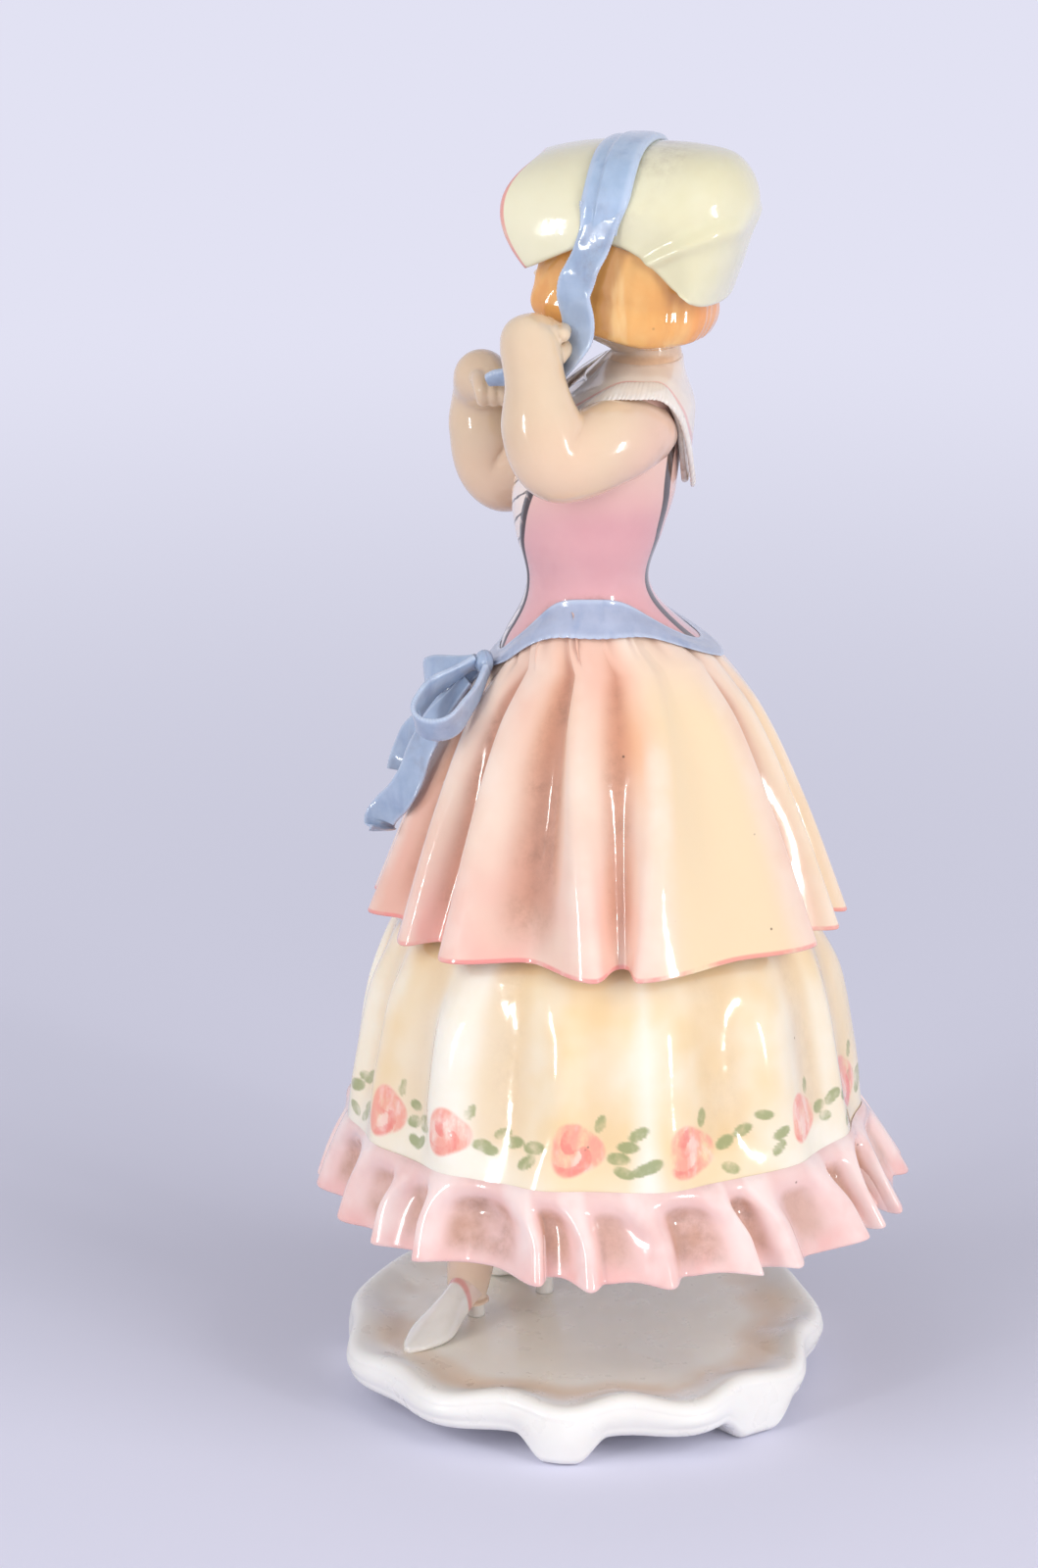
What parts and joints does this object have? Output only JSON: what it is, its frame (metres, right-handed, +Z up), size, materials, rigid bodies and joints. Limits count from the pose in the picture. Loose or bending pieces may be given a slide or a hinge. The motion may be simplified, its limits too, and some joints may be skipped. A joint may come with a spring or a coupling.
{
  "type": "porcelain figurine",
  "caption": "Glazed porcelain lady in a bonnet, frilled underskirt and pleated overskirt, standing on a low footed base and tying her bonnet ribbon under her chin.",
  "frame": {"origin": "on the ground under the axis of the flounce, which is the middle of the part's box", "axes": "+Z up; the lady faces -Y, and her left side is +X"},
  "size_m": [0.0927, 0.0928, 0.1982],
  "materials": {
    "base_white": "hand painted, clear glossy glaze",
    "stocking": "hand painted, clear glossy glaze",
    "underskirt_cream": "hand painted, clear glossy glaze",
    "flounce_pink": "hand painted, clear glossy glaze",
    "overskirt_peach": "hand painted, clear glossy glaze",
    "bodice_pink": "hand painted, clear glossy glaze",
    "ribbon_blue": "hand painted, clear glossy glaze",
    "collar_white": "hand painted, clear glossy glaze",
    "skin_beige": "hand painted, clear glossy glaze",
    "hair_blond": "hand painted, clear glossy glaze",
    "bonnet_cream": "hand painted, clear glossy glaze"
  },
  "bodies": {
    "root": {"base": "base_white", "left_leg": "stocking", "right_leg": "stocking", "underskirt": "underskirt_cream", "hem_flounce": "flounce_pink", "overskirt": "overskirt_peach", "bodice": "bodice_pink", "waist_sash": "ribbon_blue", "sash_knot": "ribbon_blue", "sash_left_loop": "ribbon_blue", "sash_right_loop": "ribbon_blue", "sash_left_tail": "ribbon_blue", "sash_right_tail": "ribbon_blue", "bonnet_ribbon": "ribbon_blue", "left_tie": "ribbon_blue", "right_tie": "ribbon_blue", "chin_knot": "ribbon_blue", "chin_left_loop": "ribbon_blue", "chin_right_loop": "ribbon_blue", "left_ribbon_end": "ribbon_blue", "right_ribbon_end": "ribbon_blue", "collar": "collar_white", "collar_frill": "collar_white", "left_arm": "skin_beige", "right_arm": "skin_beige", "head": "skin_beige", "hair": "hair_blond", "bonnet_brim": "bonnet_cream", "bonnet_crown": "bonnet_cream"}
  },
  "joints": []
}
